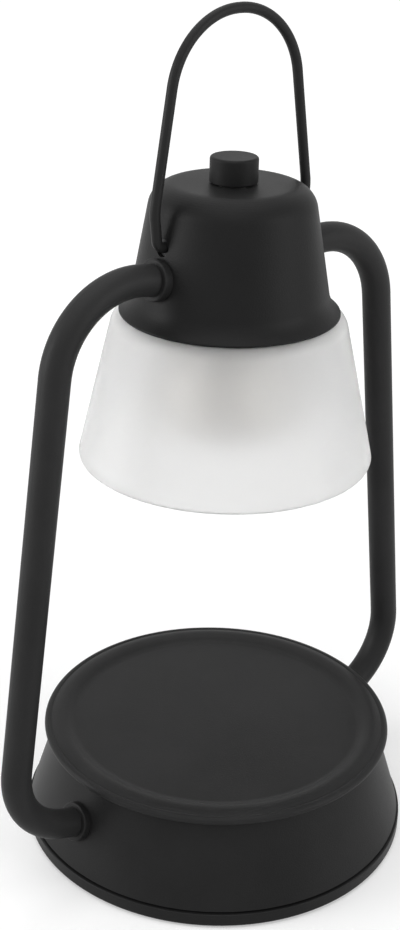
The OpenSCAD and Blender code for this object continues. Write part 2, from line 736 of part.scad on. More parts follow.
module lampholder() {
    color([0.92, 0.9, 0.86]) difference() {
        translate([0, 0, carrier_top]) cylinder(h = holder_h, r = holder_r);
        for (side = [-1, 1]) {
            translate([0, side * pin_at, carrier_top - cut])
                cylinder(h = pin_l + 1.5 + cut, r = pin_r + 0.3, $fn = 48);
            translate([0, side * lead_at, carrier_top + holder_h - 3])
                cylinder(h = 3 + cut, r = lead_r + seat, $fn = 48);
        }
        both_sides() translate([holder_screw_at, 0, carrier_top - cut])
            cylinder(h = 6 + cut, r = 1 + pilot, $fn = 48);
    }
}

module holder_screws() {
    color([0.7, 0.7, 0.72]) both_sides() translate([holder_screw_at, 0, carrier_z - gallery_flange_t]) {
        cylinder(h = gallery_flange_t + carrier_t + 5, r = 1, $fn = 48);
        cylinder(h = gallery_flange_t - seat, r = 2, $fn = 48);
    }
}

module lamp_leads() {
    color([0.85, 0.85, 0.83]) for (side = [-1, 1]) translate([0, side * lead_at, carrier_top + holder_h - 3])
        cylinder(h = hood_under - dimmer_h - 0.1 - (carrier_top + holder_h - 3), r = lead_r, $fn = 48);
}

module bulb_base() {
    color([0.9, 0.89, 0.85]) rotate_extrude() polygon(concat([[0, bulb_foot - bulb_base_h]],
        [[bulb_base_r + 1, bulb_foot - bulb_base_h]],
        arc([bulb_base_r - 1, bulb_foot - 1], 1, 0, 90, 6), [[0, bulb_foot]]));
}

// The reflector is a bowl between the lens and the base
module bulb_reflector() {
    top = bulb_foot - bulb_base_h - seat;
    low = bulb_face + lens_t + seat;
    neck_r = bulb_base_r + 1;
    rise = top - low;
    color([0.8, 0.8, 0.82]) rotate_extrude() polygon(concat(
        [for (i = [0:arc_steps])
            [neck_r + (bulb_r - neck_r) * pow(cos(90 * i / arc_steps), 0.8), low + rise * i / arc_steps]],
        [[0, top], [0, top - 1.2]],
        [for (i = [arc_steps:-1:0]) [neck_r - 1.5 + (bulb_r - neck_r) * pow(cos(90 * i / arc_steps), 0.8),
            low + (rise - 1.2) * i / arc_steps]]));
}

module bulb_lens() {
    color([0.9, 0.92, 0.95, 0.8]) rotate_extrude() polygon(concat(
        [[0, bulb_face - 0.8], [bulb_r * 0.5, bulb_face - 0.5]],
        arc([bulb_r - 0.8, bulb_face + 0.8], 0.8, -90, 0, 6),
        [[bulb_r, bulb_face + lens_t], [0, bulb_face + lens_t]]));
}

module bulb_pins() {
    color([0.75, 0.75, 0.77]) for (side = [-1, 1]) translate([0, side * pin_at, bulb_foot]) {
        cylinder(h = pin_l, r = pin_neck_r, $fn = 48);
        translate([0, 0, pin_l - 2.4]) cylinder(h = 2.4, r = pin_r, $fn = 48);
    }
}

module dimmer_body() {
    color([0.2, 0.22, 0.25]) difference() {
        union() {
            translate([0, 0, hood_under - dimmer_h]) cylinder(h = dimmer_h - seat, r = dimmer_r);
            translate([0, 0, hood_under - dimmer_h / 2])
                cylinder(h = dimmer_bush_top - hood_under + dimmer_h / 2, r = dimmer_bush_r, $fn = 48);
        }
        translate([0, 0, shaft_foot - run]) cylinder(h = knob_top, r = shaft_r + run, $fn = 48);
    }
}

module dimmer_nut() {
    color([0.75, 0.75, 0.77]) translate([0, 0, hood_top + seat]) {
        difference() {
            cylinder(h = washer_t, r = dimmer_nut_r + 0.4, $fn = 48);
            translate([0, 0, -cut]) cylinder(h = washer_t + 2 * cut, r = dimmer_bush_r + pilot, $fn = 48);
        }
        translate([0, 0, washer_t]) nut(dimmer_nut_r, dimmer_nut_h, dimmer_bush_r + pilot);
    }
}

// Shaft with a flat towards the knob's screw
module d_shaft(grow) {
    difference() {
        cylinder(h = shaft_top - shaft_foot + grow, r = shaft_r + grow, $fn = 48);
        translate([-knob_r, shaft_flat + grow, knob_recess - shaft_foot]) cube([2 * knob_r, knob_r, knob_h]);
    }
}

module dimmer_shaft() {
    color([0.75, 0.75, 0.77]) translate([0, 0, shaft_foot]) d_shaft(0);
}

module dimmer_knob() {
    color([0.18, 0.18, 0.18]) difference() {
        rotate_extrude() polygon(concat([[0, knob_z], [knob_r - 0.3, knob_z], [knob_r, knob_z + 0.3]],
            arc([knob_r - knob_round, knob_top - knob_round], knob_round, 0, 90, 8), [[0, knob_top]]));
        translate([0, 0, knob_z - cut]) cylinder(h = knob_recess - knob_z + cut, r = knob_recess_r);
        translate([0, 0, shaft_foot]) d_shaft(pilot);
        translate([0, shaft_flat, knob_screw_z]) rotate([-90, 0, 0])
            cylinder(h = knob_r, r = m3_r + pilot, $fn = 48);
    }
}

module knob_screw() {
    color([0.5, 0.5, 0.52]) translate([0, shaft_flat + 2 * pilot, knob_screw_z])
    rotate([-90, 0, 0]) difference() {
        cylinder(h = knob_r - shaft_flat - 1.2, r = m3_r, $fn = 48);
        translate([0, 0, knob_r - shaft_flat - 2.6]) cylinder(h = 2, r = 0.8, $fn = 6);
    }
}

module bail_handle() {
    color([0.14, 0.14, 0.14]) bent_rod(bail_path, bail_bends, wire_r);
}

module bail_bushes() {
    color([0.12, 0.12, 0.12]) both_sides() translate([0, 0, pivot_z]) rotate([0, 90, 0])
        rotate_extrude() polygon([[wire_r + run, bush_back], [bush_flange_r, bush_back],
            [bush_flange_r, bush_back + bush_flange_t], [bush_r, bush_back + bush_flange_t],
            [bush_r, bush_face], [wire_r + run, bush_face]]);
}

module bail_clips() {
    color([0.7, 0.7, 0.72]) both_sides() translate([clip_face - clip_t, 0, pivot_z]) rotate([0, 90, 0])
        difference() {
            cylinder(h = clip_t, r = clip_r, $fn = 48);
            translate([0, 0, -cut]) cylinder(h = clip_t + 2 * cut, r = wire_r + seat, $fn = 48);
        }
}

base_shell();
bottom_tray();
ballast_disc();
rubber_feet();
tray_screws();
candle_plate();
plate_nuts();
earth_tag();
cord_gland();
terminal_block();
terminal_screws();
left_tube();
right_tube();
tube_nipples();
lower_collars();
upper_collars();
tube_nuts();
feed_cable();
hood_shell();
standoffs();
standoff_screws();
carrier_plate();
gallery_screws();
shade_gallery();
shade_gasket();
glass_shade();
shade_ring();
lampholder();
holder_screws();
lamp_leads();
bulb_base();
bulb_reflector();
bulb_lens();
bulb_pins();
dimmer_body();
dimmer_nut();
dimmer_shaft();
dimmer_knob();
knob_screw();
bail_handle();
bail_bushes();
bail_clips();
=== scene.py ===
"""Dresses the candle warmer lamp: coats, frosted glass, bulb, hardware, studio and camera."""

import json
import logging
import math
from dataclasses import dataclass
from enum import Enum
from typing import Callable

import bmesh
import bpy
from mathutils import Matrix, Vector


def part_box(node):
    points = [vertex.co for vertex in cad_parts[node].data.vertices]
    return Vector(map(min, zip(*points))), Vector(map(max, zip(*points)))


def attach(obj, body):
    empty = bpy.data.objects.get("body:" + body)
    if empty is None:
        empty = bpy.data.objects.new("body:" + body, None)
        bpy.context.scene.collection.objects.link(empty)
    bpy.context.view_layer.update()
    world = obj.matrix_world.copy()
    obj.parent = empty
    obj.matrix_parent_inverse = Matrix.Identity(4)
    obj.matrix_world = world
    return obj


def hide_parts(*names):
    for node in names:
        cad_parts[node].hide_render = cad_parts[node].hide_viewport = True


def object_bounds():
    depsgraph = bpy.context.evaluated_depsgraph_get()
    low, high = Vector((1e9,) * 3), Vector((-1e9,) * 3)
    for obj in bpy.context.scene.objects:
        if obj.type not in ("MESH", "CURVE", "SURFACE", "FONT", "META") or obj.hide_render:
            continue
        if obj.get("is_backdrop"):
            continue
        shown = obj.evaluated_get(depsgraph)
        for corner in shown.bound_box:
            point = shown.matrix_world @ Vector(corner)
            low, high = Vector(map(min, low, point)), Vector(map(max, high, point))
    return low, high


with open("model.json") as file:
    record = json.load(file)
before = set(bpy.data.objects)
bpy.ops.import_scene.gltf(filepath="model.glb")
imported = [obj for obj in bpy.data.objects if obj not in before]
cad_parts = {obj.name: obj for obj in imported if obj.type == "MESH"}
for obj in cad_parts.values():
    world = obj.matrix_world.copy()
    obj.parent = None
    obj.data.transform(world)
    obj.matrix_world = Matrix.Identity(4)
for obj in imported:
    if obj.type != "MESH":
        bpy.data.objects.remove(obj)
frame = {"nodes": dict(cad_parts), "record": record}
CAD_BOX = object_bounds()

log = logging.getLogger("candle_warmer")

Colour = tuple[float, float, float]
Colour4 = tuple[float, float, float, float]
Range = tuple[float, float]
Point = tuple[float, float]
Place = tuple[float, float, float]
Node = bpy.types.Node
Tree = bpy.types.NodeTree
Socket = bpy.types.NodeSocket

MM = 0.001
PHOTO_HEIGHT = 930
WHOLE: Range = (0.0, 1.0)
MIDDLE: Range = (0.3, 0.7)
WHITE: Colour4 = (1.0, 1.0, 1.0, 1.0)


class ToolMarks(Enum):
    """The fine lines that making leaves on a bare metal."""

    TURNED = "turned"
    NONE = "none"


# --------------------------------------------------------------------------------------
# Node building
# --------------------------------------------------------------------------------------


@dataclass(frozen=True)
class Noise:
    """A noise pattern: its cells per metre, octaves, and how strong the finer ones are."""

    scale: float
    detail: float = 2.0
    rough: float = 0.5


class Graph:
    """A small helper that adds and links nodes in one node tree."""

    def __init__(self, tree: Tree) -> None:
        """Keeps the tree of a material, a world or a group, which the nodes go into."""
        self.tree = tree

    def add(self, kind: str, **settings: object) -> Node:
        """Adds a node.

        Args:
            kind: the node's type name.
            settings: attributes that are set on the node.

        Returns:
            The new node.
        """
        node = self.tree.nodes.new(kind)
        for name, value in settings.items():
            setattr(node, name, value)
        return node

    def feed(self, socket: Socket, value: object) -> None:
        """Links a socket to an input, or sets the input's own value.

        Args:
            socket: the input.
            value: an output socket, or a plain value.
        """
        if isinstance(value, bpy.types.NodeSocket):
            self.tree.links.new(value, socket)
        else:
            socket.default_value = value

    def place(self) -> Socket:
        """Gives the Object coordinates, which every pattern here is read at."""
        return self.add("ShaderNodeTexCoord").outputs["Object"]

    def math(self, operation: str, a: object, b: object = 0.0, clamp: bool = False) -> Socket:
        """Adds a Math node.

        Args:
            operation: the Math node's operation.
            a: first value or socket.
            b: second value or socket.
            clamp: whether the result is kept between 0 and 1.

        Returns:
            The result's socket.
        """
        node = self.add("ShaderNodeMath", operation=operation, use_clamp=clamp)
        self.feed(node.inputs[0], a)
        self.feed(node.inputs[1], b)
        return node.outputs[0]

    def times(self, a: Socket, b: object, clamp: bool = False) -> Socket:
        """Multiplies two values."""
        return self.math("MULTIPLY", a, b, clamp)

    def span(self, value: Socket, given: Range, wanted: Range = WHOLE) -> Socket:
        """Maps a value from one range to another, clamped.

        Args:
            value: the socket that is mapped.
            given: the range it comes in.
            wanted: the range that it is given.

        Returns:
            The mapped value's socket.
        """
        node = self.add("ShaderNodeMapRange", clamp=True)
        for socket, number in zip(node.inputs[1:5], given + wanted):
            socket.default_value = number
        self.feed(node.inputs[0], value)
        return node.outputs[0]

    def noise(self, vector: Socket, pattern: Noise) -> Socket:
        """Adds a Noise Texture.

        Args:
            vector: where the noise is read.
            pattern: its scale, octaves and roughness.

        Returns:
            The noise value's socket.
        """
        node = self.add("ShaderNodeTexNoise")
        self.feed(node.inputs["Vector"], vector)
        node.inputs["Scale"].default_value = pattern.scale
        node.inputs["Detail"].default_value = pattern.detail
        node.inputs["Roughness"].default_value = pattern.rough
        return node.outputs["Fac"]

    def mix(self, factor: object, a: object, b: object) -> Socket:
        """Mixes two colours.

        Args:
            factor: share of the second colour.
            a: first colour.
            b: second colour.

        Returns:
            The mixed colour's socket.
        """
        node = self.add("ShaderNodeMix", data_type="RGBA")
        for index, value in ((0, factor), (6, a), (7, b)):
            self.feed(node.inputs[index], value)
        return node.outputs[2]

    def shader(self, kind: str, inputs: dict[str | int, object]) -> Socket:
        """Adds a shader and feeds its inputs.

        Args:
            kind: the shader node's type name.
            inputs: values or sockets, by the input's name or number.

        Returns:
            The shader's socket.
        """
        node = self.add(kind)
        for key, value in inputs.items():
            self.feed(node.inputs[key], value)
        return node.outputs[0]


def rgba(colour: Colour) -> Colour4:
    """Gives a colour its alpha of one."""
    return (*colour, 1.0)


def tinted(colour: Colour, share: float) -> Colour:
    """Scales a linear colour's brightness and keeps each channel below one."""
    return tuple(min(1.0, channel * share) for channel in colour)


class Effects:
    """Shader node groups that several finishes share. Each is built once.

    Each band is the part of its noise, or of its angle, over which the effect comes in.
    """

    PEBBLE_SMOOTHNESS = 0.6
    SKIN = Noise(5200.0, 3.0, 0.65)
    SKIN_SHARE = 0.7
    # Noise and band of the rare grains that are painted lighter as glints.
    GRAINS = Noise(2600.0, 1.0)
    GRAIN_BAND: Range = (0.66, 0.78)
    CLOUD = Noise(26.0, 4.0, 0.55)
    CLOUD_BAND: Range = (0.32, 0.68)
    BEVEL_SAMPLES = 4
    EDGE_BAND: Range = (0.02, 0.15)
    PATCHES = Noise(240.0, 5.0, 0.7)
    PATCH_BAND: Range = (0.45, 0.62)
    SMUDGES = Noise(60.0, 6.0, 0.62)
    SMUDGE_BAND: Range = (0.5, 0.75)
    SPECKS = Noise(1400.0)
    SPECK_BAND: Range = (0.7, 0.8)
    UPWARD_BAND: Range = (0.3, 0.95)
    LINE_DRIFT = 0.02

    _made: dict[str, Tree] = {}

    @classmethod
    def _group(
        cls,
        name: str,
        inputs: dict[str, float],
        outputs: tuple[str, ...],
        fill: Callable[[Graph, Node, Node], None],
    ) -> Tree:
        """Builds a group, or returns it if it is there.

        Args:
            name: the group's name.
            inputs: float inputs and their defaults.
            outputs: float outputs.
            fill: makes the nodes between the group's input and output nodes.

        Returns:
            The node group.
        """
        if name not in cls._made:
            tree = bpy.data.node_groups.new(name, "ShaderNodeTree")
            face = tree.interface
            for label, value in inputs.items():
                socket = face.new_socket(label, in_out="INPUT", socket_type="NodeSocketFloat")
                socket.default_value = value
            for label in outputs:
                face.new_socket(label, in_out="OUTPUT", socket_type="NodeSocketFloat")
            graph = Graph(tree)
            fill(graph, graph.add("NodeGroupInput"), graph.add("NodeGroupOutput"))
            cls._made[name] = tree
        return cls._made[name]

    @classmethod
    def powder_grain(cls) -> Tree:
        """The fine pebbled skin of a baked powder coat: Height, painted glints and Cloud.

        Returns:
            The node group.
        """

        def fill(graph: Graph, given: Node, out: Node) -> None:
            """Fills the group with a fine pebble, rare grains for painted glints and a broad
            cloud.
            """
            place = graph.place()
            pebble = graph.add("ShaderNodeTexVoronoi", feature="SMOOTH_F1")
            cells = graph.math("DIVIDE", 1.0, given.outputs["Pebble size"])
            graph.feed(pebble.inputs["Vector"], place)
            graph.feed(pebble.inputs["Scale"], cells)
            pebble.inputs["Smoothness"].default_value = cls.PEBBLE_SMOOTHNESS
            skin = graph.times(graph.noise(place, cls.SKIN), cls.SKIN_SHARE)
            graph.feed(out.inputs["Height"], graph.math("ADD", pebble.outputs["Distance"], skin))
            # Painted glints: a mask of rare grains that the coat paints lighter, standing for
            # glints of light.
            grains = graph.span(graph.noise(place, cls.GRAINS), cls.GRAIN_BAND)
            graph.feed(out.inputs["PaintedGlint"], grains)
            cloud = graph.span(graph.noise(place, cls.CLOUD), cls.CLOUD_BAND)
            graph.feed(out.inputs["Cloud"], cloud)

        inputs = {"Pebble size": 0.6 * MM}
        return cls._group("powder_grain", inputs, ("Height", "PaintedGlint", "Cloud"), fill)

    @classmethod
    def edge_rub(cls) -> Tree:
        """Where hands and packing rub a finish: a mask of broken edges.

        Returns:
            The node group.
        """

        def fill(graph: Graph, given: Node, out: Node) -> None:
            """Compares the surface with its bevelled self and breaks the result up."""
            shape = graph.add("ShaderNodeNewGeometry")
            bevel = graph.add("ShaderNodeBevel", samples=cls.BEVEL_SAMPLES)
            graph.feed(bevel.inputs["Radius"], given.outputs["Radius"])
            dot = graph.add("ShaderNodeVectorMath", operation="DOT_PRODUCT")
            graph.feed(dot.inputs[0], shape.outputs["Normal"])
            graph.feed(dot.inputs[1], bevel.outputs["Normal"])
            turned = graph.math("SUBTRACT", 1.0, dot.outputs["Value"])
            patches = graph.span(graph.noise(graph.place(), cls.PATCHES), cls.PATCH_BAND)
            worn = graph.times(graph.span(turned, cls.EDGE_BAND), patches)
            graph.feed(out.inputs["Mask"], graph.times(worn, given.outputs["Amount"], True))

        return cls._group("edge_rub", {"Radius": 0.4 * MM, "Amount": 0.5}, ("Mask",), fill)

    @classmethod
    def handling(cls) -> Tree:
        """Faint dust and finger marks: masks that dull or polish a finish.

        Returns:
            The node group.
        """

        def fill(graph: Graph, given: Node, out: Node) -> None:
            """Makes soft smudges, and specks of dust that lie on upward faces."""
            spot = graph.add("ShaderNodeTexCoord")
            place, amount = spot.outputs["Object"], given.outputs["Amount"]
            smudge = graph.span(graph.noise(place, cls.SMUDGES), cls.SMUDGE_BAND)
            graph.feed(out.inputs["Smudge"], graph.times(smudge, amount))
            up = graph.add("ShaderNodeSeparateXYZ")
            graph.feed(up.inputs[0], spot.outputs["Normal"])
            specks = graph.span(graph.noise(place, cls.SPECKS), cls.SPECK_BAND)
            dust = graph.times(specks, graph.span(up.outputs["Z"], cls.UPWARD_BAND))
            graph.feed(out.inputs["Dust"], graph.times(dust, amount, True))

        return cls._group("handling", {"Amount": 0.5}, ("Smudge", "Dust"), fill)

    @classmethod
    def turned_lines(cls) -> Tree:
        """Fine lines round the lamp's axis, left by turning or spinning.

        Returns:
            The node group.
        """

        def fill(graph: Graph, given: Node, out: Node) -> None:
            """Reads a noise by radius and height, with a slow drift along the lines."""
            parts = graph.add("ShaderNodeSeparateXYZ")
            graph.feed(parts.inputs[0], graph.place())
            x, y, z = parts.outputs
            squares = graph.math("ADD", graph.times(x, x), graph.times(y, y))
            spot = graph.add("ShaderNodeCombineXYZ")
            graph.feed(spot.inputs[0], graph.math("SQRT", squares))
            graph.feed(spot.inputs[1], graph.times(x, cls.LINE_DRIFT))
            graph.feed(spot.inputs[2], z)
            lines = graph.add("ShaderNodeTexNoise")
            graph.feed(lines.inputs["Vector"], spot.outputs[0])
            graph.feed(lines.inputs["Scale"], graph.math("DIVIDE", 1.0, given.outputs["Pitch"]))
            graph.feed(out.inputs["Lines"], lines.outputs["Fac"])

        return cls._group("turned_lines", {"Pitch": 0.4 * MM}, ("Lines",), fill)


# --------------------------------------------------------------------------------------
# Finishes
# --------------------------------------------------------------------------------------


@dataclass(frozen=True)
class Finish:
    """A surface finish that makes one Blender material."""

    name: str
    colour: Colour
    roughness: float = 0.5

    def material(self) -> bpy.types.Material:
        """Builds the material, or returns it if it is there.

        Returns:
            The material of this finish.
        """
        title = f"{self.name}_finish"
        found = bpy.data.materials.get(title)
        if found is not None:
            return found
        made = bpy.data.materials.new(title)
        made.use_nodes = True
        made.node_tree.nodes.clear()
        graph = Graph(made.node_tree)
        shader = graph.add("ShaderNodeBsdfPrincipled")
        out = graph.add("ShaderNodeOutputMaterial")
        graph.feed(out.inputs["Surface"], shader.outputs[0])
        shader.inputs["Base Color"].default_value = rgba(self.colour)
        shader.inputs["Roughness"].default_value = self.roughness
        self.paint(graph, shader)
        return made

    def paint(self, graph: Graph, shader: Node) -> None:
        """Adds the nodes that each kind of finish has of its own."""
        raise NotImplementedError

    def group(self, graph: Graph, tree: Tree, **values: float) -> Node:
        """Places a shared effect in this material.

        Args:
            graph: the material's nodes.
            tree: the effect's node group.
            values: the group's inputs, underscores standing for spaces.

        Returns:
            The group node.
        """
        node = graph.add("ShaderNodeGroup", node_tree=tree)
        for label, value in values.items():
            node.inputs[label.replace("_", " ")].default_value = value
        return node

    def tint(self, share: float) -> Colour4:
        """Gives the finish's colour at another brightness."""
        return rgba(tinted(self.colour, share))

    def mottled(self, graph: Graph, mask: Socket, tints: Range) -> Socket:
        """Varies the colour between two tints over the surface."""
        return graph.mix(mask, self.tint(tints[0]), self.tint(tints[1]))

    def dulled(self, graph: Graph, mask: Socket, spread: Range) -> Socket:
        """Varies the roughness between two shares of its value over the surface."""
        low, high = spread
        return graph.span(mask, WHOLE, (self.roughness * low, self.roughness * high))

    def bump(self, graph: Graph, shader: Node, height: Socket, distance: float) -> None:
        """Feeds a height to the shader's normal.

        Args:
            graph: the material's nodes.
            shader: the Principled BSDF.
            height: the height's socket.
            distance: how deep a height of one is, in metres.
        """
        node = graph.add("ShaderNodeBump")
        node.inputs["Distance"].default_value = distance
        graph.feed(node.inputs["Height"], height)
        graph.feed(shader.inputs["Normal"], node.outputs[0])


@dataclass(frozen=True)
class PowderCoat(Finish):
    """Satin black powder coat, with its pebbled skin, painted glints, rubbed edges and light
    handling.
    """

    roughness: float = 0.42
    specular: float = 0.1
    pebble: float = 0.6 * MM
    depth: float = 0.035 * MM
    rub: float = 0.35
    rub_radius: float = 0.35 * MM
    rub_tint: float = 3.0
    rub_polish: float = 0.12
    handled: float = 0.4
    smudge_polish: float = 0.08
    tints: Range = (0.86, 1.16)
    spread: Range = (0.94, 1.06)
    # Share and tint of the painted glints: rare grains painted lighter than the coat.
    sparkle: float = 0.35
    sparkle_tint: float = 2.2
    dust: float = 0.12
    dust_colour: Colour = (0.35, 0.34, 0.32)

    def paint(self, graph: Graph, shader: Node) -> None:
        """Adds the coat's grain, cloud, painted glints, rubbed edges and dust.

        Args:
            graph: the material's nodes.
            shader: the Principled BSDF.
        """
        shader.inputs["Specular IOR Level"].default_value = self.specular
        grain = self.group(graph, Effects.powder_grain(), Pebble_size=self.pebble).outputs
        hand = self.group(graph, Effects.handling(), Amount=self.handled).outputs
        edge = self.group(graph, Effects.edge_rub(), Radius=self.rub_radius, Amount=self.rub)
        worn = edge.outputs["Mask"]
        colour = self.mottled(graph, grain["Cloud"], self.tints)
        # Painted glints: rare grains are painted lighter in the coat's colour.
        sparkle = graph.times(grain["PaintedGlint"], self.sparkle)
        colour = graph.mix(sparkle, colour, self.tint(self.sparkle_tint))
        colour = graph.mix(worn, colour, self.tint(self.rub_tint))
        dust = graph.times(hand["Dust"], self.dust)
        graph.feed(shader.inputs["Base Color"], graph.mix(dust, colour, rgba(self.dust_colour)))
        rough = self.dulled(graph, grain["Cloud"], self.spread)
        rough = graph.math("SUBTRACT", rough, graph.times(hand["Smudge"], self.smudge_polish))
        rough = graph.math("SUBTRACT", rough, graph.times(worn, self.rub_polish), True)
        graph.feed(shader.inputs["Roughness"], rough)
        self.bump(graph, shader, grain["Height"], self.depth)


@dataclass(frozen=True)
class Metal(Finish):
    """A bare or plated metal with tool lines and edges polished by handling."""

    roughness: float = 0.3
    marks: ToolMarks = ToolMarks.NONE
    pitch: float = 0.35 * MM
    depth: float = 0.01 * MM
    rub: float = 0.6
    rub_radius: float = 0.2 * MM
    rub_tint: float = 1.25
    tints: Range = (0.86, 1.06)
    spread: Range = (0.8, 1.2)
    line_gloss: Range = (-0.06, 0.06)
    mottle: Noise = Noise(160.0, 5.0, 0.6)
    grain: Noise = Noise(2400.0, 3.0, 0.6)

    def paint(self, graph: Graph, shader: Node) -> None:
        """Adds tool lines, a mottle and brighter edges.

        Args:
            graph: the material's nodes.
            shader: the Principled BSDF.
        """
        shader.inputs["Metallic"].default_value = 1.0
        place = graph.place()
        mottle = graph.span(graph.noise(place, self.mottle), MIDDLE)
        edge = self.group(graph, Effects.edge_rub(), Radius=self.rub_radius, Amount=self.rub)
        colour = self.mottled(graph, mottle, self.tints)
        colour = graph.mix(edge.outputs["Mask"], colour, self.tint(self.rub_tint))
        graph.feed(shader.inputs["Base Color"], colour)
        rough = self.dulled(graph, mottle, self.spread)
        if self.marks is ToolMarks.TURNED:
            lines = self.group(graph, Effects.turned_lines(), Pitch=self.pitch)
            height = lines.outputs["Lines"]
            rough = graph.math("ADD", rough, graph.span(height, MIDDLE, self.line_gloss))
        else:
            height = graph.noise(place, self.grain)
        graph.feed(shader.inputs["Roughness"], rough)
        self.bump(graph, shader, height, self.depth)


@dataclass(frozen=True)
class Moulded(Finish):
    """A moulded or fired part: plastic, rubber or ceramic with a fine skin."""

    roughness: float = 0.55
    skin: float = 0.25 * MM
    depth: float = 0.01 * MM
    specular: float = 0.3
    rub: float = 0.3
    rub_radius: float = 0.3 * MM
    rub_tint: float = 1.5
    handled: float = 0.5
    smudge_polish: float = 0.1
    tints: Range = (0.9, 1.08)
    spread: Range = (0.9, 1.1)

    def paint(self, graph: Graph, shader: Node) -> None:
        """Adds the fine skin, a mottle and paler edges.

        Args:
            graph: the material's nodes.
            shader: the Principled BSDF.
        """
        shader.inputs["Specular IOR Level"].default_value = self.specular
        grain = self.group(graph, Effects.powder_grain(), Pebble_size=self.skin).outputs
        hand = self.group(graph, Effects.handling(), Amount=self.handled).outputs
        edge = self.group(graph, Effects.edge_rub(), Radius=self.rub_radius, Amount=self.rub)
        colour = self.mottled(graph, grain["Cloud"], self.tints)
        colour = graph.mix(edge.outputs["Mask"], colour, self.tint(self.rub_tint))
        graph.feed(shader.inputs["Base Color"], colour)
        rough = self.dulled(graph, grain["Cloud"], self.spread)
        smudge = graph.times(hand["Smudge"], self.smudge_polish)
        graph.feed(shader.inputs["Roughness"], graph.math("SUBTRACT", rough, smudge, True))
        self.bump(graph, shader, grain["Height"], self.depth)


@dataclass(frozen=True)
class FrostedGlass(Finish):
    """White glass, etched on the outside, that lets a soft light through."""

    roughness: float = 0.62
    transmission: float = 0.85
    ior: float = 1.45
    specular: float = 0.35
    milk: float = 0.2
    milk_depth: float = 3.0 * MM
    milk_radius: Colour = (1.0, 1.0, 0.95)
    cloud: Noise = Noise(34.0, 5.0, 0.6)
    etch: Noise = Noise(3800.0, 3.0, 0.7)
    etch_depth: float = 0.008 * MM
    rub: float = 0.5
    rub_radius: float = 0.8 * MM
    rub_tint: float = 1.08
    tints: Range = (0.975, 1.015)
    spread: Range = (0.92, 1.1)

    def paint(self, graph: Graph, shader: Node) -> None:
        """Adds the etched skin, its faint streaks and softer, paler edges.

        Args:
            graph: the material's nodes.
            shader: the Principled BSDF.
        """
        shader.inputs["Transmission Weight"].default_value = self.transmission
        shader.inputs["IOR"].default_value = self.ior
        shader.inputs["Specular IOR Level"].default_value = self.specular
        shader.inputs["Subsurface Weight"].default_value = self.milk
        shader.inputs["Subsurface Scale"].default_value = self.milk_depth
        shader.inputs["Subsurface Radius"].default_value = self.milk_radius
        place = graph.place()
        cloud = graph.span(graph.noise(place, self.cloud), MIDDLE)
        edge = self.group(graph, Effects.edge_rub(), Radius=self.rub_radius, Amount=self.rub)
        colour = self.mottled(graph, cloud, self.tints)
        colour = graph.mix(edge.outputs["Mask"], colour, self.tint(self.rub_tint))
        graph.feed(shader.inputs["Base Color"], colour)
        graph.feed(shader.inputs["Roughness"], self.dulled(graph, cloud, self.spread))
        self.bump(graph, shader, graph.noise(place, self.etch), self.etch_depth)


@dataclass(frozen=True)
class ClearGlass(Finish):
    """Pressed clear glass with faint flow marks."""

    roughness: float = 0.06
    ior: float = 1.47
    flow: Noise = Noise(220.0, 3.0)
    flow_depth: float = 0.05 * MM
    spread: Range = (0.6, 1.6)

    def paint(self, graph: Graph, shader: Node) -> None:
        """Adds the glass and its flow marks.

        Args:
            graph: the material's nodes.
            shader: the Principled BSDF.
        """
        shader.inputs["Transmission Weight"].default_value = 1.0
        shader.inputs["IOR"].default_value = self.ior
        flow = graph.noise(graph.place(), self.flow)
        rough = self.dulled(graph, graph.span(flow, MIDDLE), self.spread)
        graph.feed(shader.inputs["Roughness"], rough)
        self.bump(graph, shader, flow, self.flow_depth)


COAT: Colour = (0.0132, 0.0132, 0.0133)


